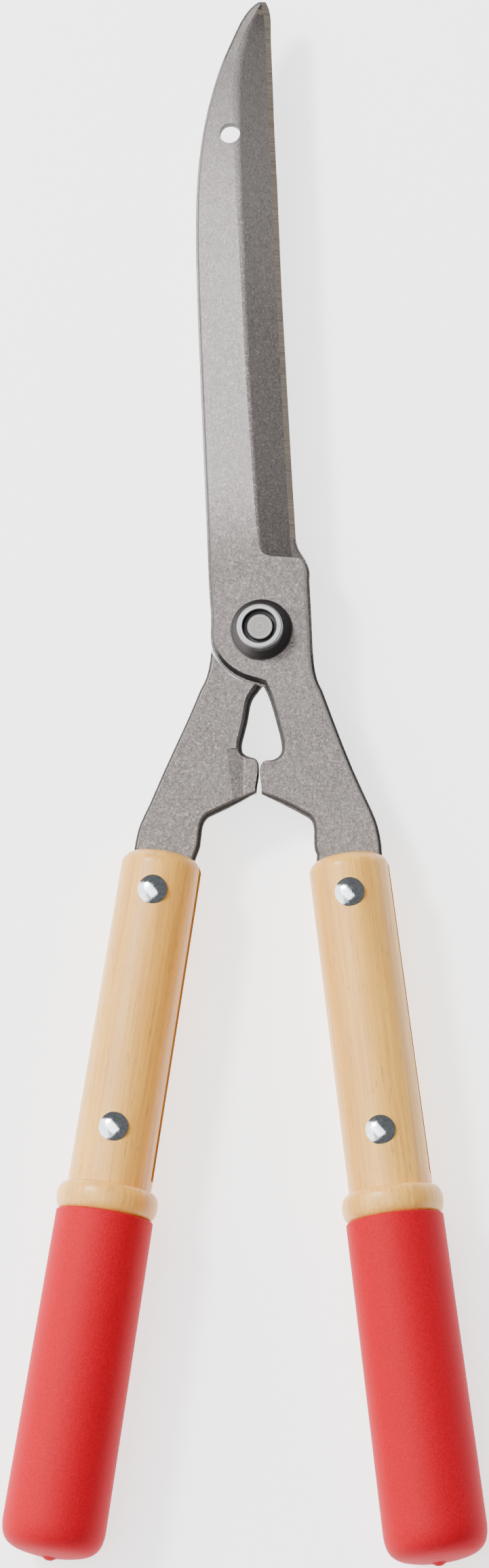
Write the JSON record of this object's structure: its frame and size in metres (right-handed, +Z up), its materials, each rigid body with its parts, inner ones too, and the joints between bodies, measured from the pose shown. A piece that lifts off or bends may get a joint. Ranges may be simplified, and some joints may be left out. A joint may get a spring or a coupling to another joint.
{
  "type": "hedge shears",
  "caption": "Forged hedge shears: two blades on a round bolted pivot, stepped arms with stop tabs, riveted turned wood handles with a bead and dipped red grips.",
  "frame": {"origin": "bottom centre of the bounding box with the shears lying flat", "axes": "+Y from the grips to the blade tips, +Z up along the pivot out of the front blade, +X to the right handle"},
  "size_m": [0.1784, 0.5942, 0.0384],
  "materials": {
    "forged_steel": "shot-blasted forged steel with fine speckle, ground cutting edge",
    "turned_steel": "turned bright steel",
    "dark_steel": "dark oiled steel",
    "plated_steel": "bright zinc or nickel plate",
    "wood": "clear satin varnish over pale hardwood",
    "vinyl": "matte dipped red vinyl"
  },
  "bodies": {
    "rear_half": {"rear_blade": "forged_steel", "pivot_bolt": "turned_steel", "pivot_cone_washer": "dark_steel", "pivot_ring_nut": "turned_steel", "pivot_back_washer": "turned_steel", "left_handle_wood": "wood", "left_grip": "vinyl", "left_rivets": "plated_steel", "left_rivet_burrs": "plated_steel"},
    "front_half": {"front_blade": "forged_steel", "right_handle_wood": "wood", "right_grip": "vinyl", "right_rivets": "plated_steel", "right_rivet_burrs": "plated_steel"}
  },
  "joints": [
    {"name": "blade_pivot", "type": "hinge", "parent": "rear_half", "child": "front_half", "pos_m": [0.00153, 0.05215, 0.01921], "axis": [0, 0, 1], "range_deg": [0, 37]}
  ]
}
